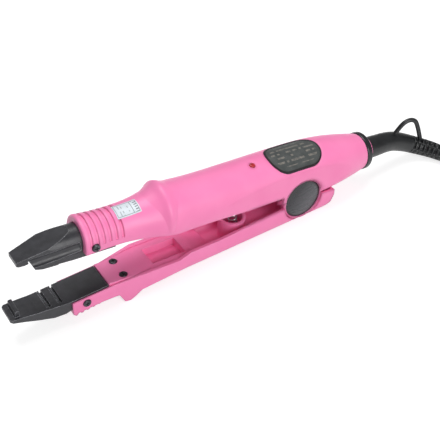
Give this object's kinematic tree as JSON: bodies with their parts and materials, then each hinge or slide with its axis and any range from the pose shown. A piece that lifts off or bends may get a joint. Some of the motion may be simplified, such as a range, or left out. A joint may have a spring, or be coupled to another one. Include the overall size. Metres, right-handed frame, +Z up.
{
  "type": "hair extension iron",
  "caption": "Heated tongs that melt hair extension bonds: tubular casing with a coated tip, sprung lower arm and jaw, and a mains cord on a swivel.",
  "frame": {"origin": "on the surface that the iron lies on, under the middle of the iron's length without its cord", "axes": "+X towards the cord, +Y along the hinge pin, +Z up, with the iron lying on its lower arm"},
  "size_m": [0.4736, 0.0614, 0.0596],
  "materials": {
    "pink_plastic": "smooth satin moulding",
    "dark_coating": "matt dark heat-proof coating on aluminium",
    "black_screw": "blackened steel",
    "steel": "plain ground steel",
    "brass": "drawn brass",
    "white_ceramic": "unglazed technical ceramic",
    "wire_sleeve": "silicone sleeve",
    "board_laminate": "glass fibre laminate",
    "component_plastic": "moulded component",
    "red_lens": "clear red",
    "dark_plastic": "textured plate",
    "white_label": "coated label",
    "slate_plastic": "satin",
    "black_plastic": "satin",
    "black_rubber": "soft moulded strain relief",
    "cord_jacket": "smooth cable jacket",
    "tie_plastic": "flat tie",
    "mica": "pressed mica sheet"
  },
  "bodies": {
    "handle": {"upper_shell": "pink_plastic", "underside_cover": "pink_plastic", "underside_screws": "steel", "neck_screws": "black_screw", "heater_tip": "dark_coating", "heating_element": "white_ceramic", "rear_sleeve": "white_ceramic", "lead_wires": "wire_sleeve", "circuit_board": "board_laminate", "board_posts": "pink_plastic", "board_parts": "component_plastic", "indicator_lens": "red_lens", "indicator_lamp": "red_lens", "rating_plate": "dark_plastic", "front_label": "white_label", "hinge_pin": "steel", "hinge_cap_near": "slate_plastic", "hinge_cap_far": "slate_plastic", "return_spring": "steel", "tail_ring": "black_plastic"},
    "clamp_arm": {"arm_channel": "pink_plastic", "hinge_bushes": "brass", "arm_cover": "pink_plastic", "cover_screws": "black_screw", "arm_side_screws": "black_screw", "lower_jaw": "dark_coating", "jaw_insulator": "mica"},
    "cord_swivel": {"swivel_hub": "pink_plastic", "swivel_clip": "steel", "cord_boot": "black_rubber", "hanging_loop": "black_rubber", "power_cord": "cord_jacket", "cord_hank": "cord_jacket", "cord_end": "cord_jacket", "cord_tie": "tie_plastic", "plug_body": "black_plastic", "plug_pins": "brass"}
  },
  "joints": [
    {"name": "squeeze", "type": "hinge", "parent": "handle", "child": "clamp_arm", "pos_m": [0.0617, 0, 0.01542], "axis": [0, 1, 0], "range_deg": [0, 9.2], "stiffness_Nm_per_rad": 2, "springref_deg": -17.19, "deforming": ["return_spring"]},
    {"name": "cord_turn", "type": "hinge", "parent": "handle", "child": "cord_swivel", "pos_m": [0.11472, 0, 0.01997], "axis": [0.9894, 0, -0.1453], "continuous": true}
  ]
}
